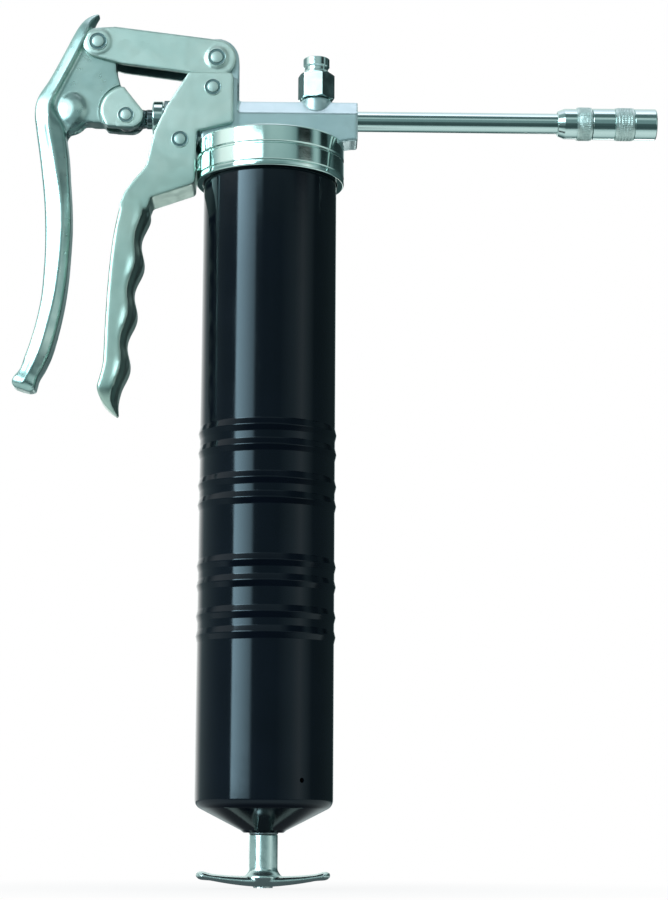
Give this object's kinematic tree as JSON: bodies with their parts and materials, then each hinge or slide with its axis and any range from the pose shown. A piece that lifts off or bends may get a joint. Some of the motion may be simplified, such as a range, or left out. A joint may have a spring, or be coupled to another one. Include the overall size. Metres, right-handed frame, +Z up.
{
  "type": "grease gun",
  "caption": "One-hand pistol-grip grease gun with a cartridge barrel, squeeze lever, T pull handle, rigid tube and hydraulic coupler.",
  "frame": {"origin": "on the barrel's axis, at the flat riveted end of the follower rod under the pull handle", "axes": "+Z up the barrel towards the head, +X along the delivery tube towards the coupler, -X towards the grip and lever, Y across the grip"},
  "size_m": [0.2747, 0.0636, 0.3728],
  "materials": {
    "black_enamel": "gloss black enamel",
    "cast_metal": "satin tumbled die casting",
    "bright_plate": "bright zinc plate",
    "steel": "plain turned steel",
    "rubber": "matt black rubber"
  },
  "bodies": {
    "gun": {"barrel_tube": "black_enamel", "barrel_gasket": "rubber", "rod_guide_bush": "steel", "head_casting": "cast_metal", "packing_nut": "steel", "plunger_packing": "rubber", "fixed_grip": "cast_metal", "yoke_rivet_upper": "steel", "yoke_rivet_lower": "steel", "link_head_pin": "steel", "delivery_tube": "bright_plate", "coupler_body": "bright_plate", "coupler_sleeve": "bright_plate", "coupler_seal": "rubber", "filler_valve": "bright_plate", "vent_spring": "steel", "follower_spring": "steel"},
    "link": {"link": "cast_metal", "link_lever_pin": "steel"},
    "lever": {"squeeze_lever": "cast_metal", "plunger_pin": "steel"},
    "plunger": {"plunger": "steel"},
    "rod": {"follower_rod": "steel", "pull_handle": "bright_plate", "piston_plate": "steel", "piston_cup": "rubber", "piston_washer": "steel", "rod_nut": "steel"},
    "vent": {"vent_button": "steel"},
    "check": {"check_ball": "steel", "check_spring": "steel"},
    "jaws": {"coupler_jaw_1": "steel", "coupler_jaw_2": "steel", "coupler_jaw_3": "steel"}
  },
  "joints": [
    {"name": "link_swing", "type": "hinge", "parent": "gun", "child": "link", "pos_m": [-0.0235, 0, 0.3522], "axis": [0, -1, 0], "range_deg": [-3.2, 0.75]},
    {"name": "lever_squeeze", "type": "hinge", "parent": "link", "child": "lever", "pos_m": [-0.0749, 0, 0.3588], "axis": [0, -1, 0], "range_deg": [-16.8, 3.7]},
    {"name": "plunger_stroke", "type": "slide", "parent": "gun", "child": "plunger", "axis": [1, 0, 0], "range_m": [-0.0115, 0.0026]},
    {"name": "rod_pull", "type": "slide", "parent": "gun", "child": "rod", "axis": [0, 0, -1], "range_m": [0, 0.205], "stiffness_N_per_m": 250, "springref_m": -0.08, "deforming": ["follower_spring"]},
    {"name": "vent_press", "type": "slide", "parent": "gun", "child": "vent", "axis": [0, 0, -1], "range_m": [0, 0.002], "stiffness_N_per_m": 500, "springref_m": -0.002, "deforming": ["vent_spring"]},
    {"name": "check_lift", "type": "slide", "parent": "gun", "child": "check", "axis": [1, 0, 0], "range_m": [0, 0.0015], "stiffness_N_per_m": 400, "springref_m": -0.002},
    {"name": "jaw_release", "type": "slide", "parent": "gun", "child": "jaws", "axis": [-1, 0, 0], "range_m": [0, 0.0015], "stiffness_N_per_m": 2000, "springref_m": -0.002}
  ],
  "couplings": [
    {"joint": "link_swing", "follows": "lever_squeeze", "ratio": 0.185},
    {"joint": "plunger_stroke", "follows": "lever_squeeze", "m_per_rad": 0.0385}
  ]
}
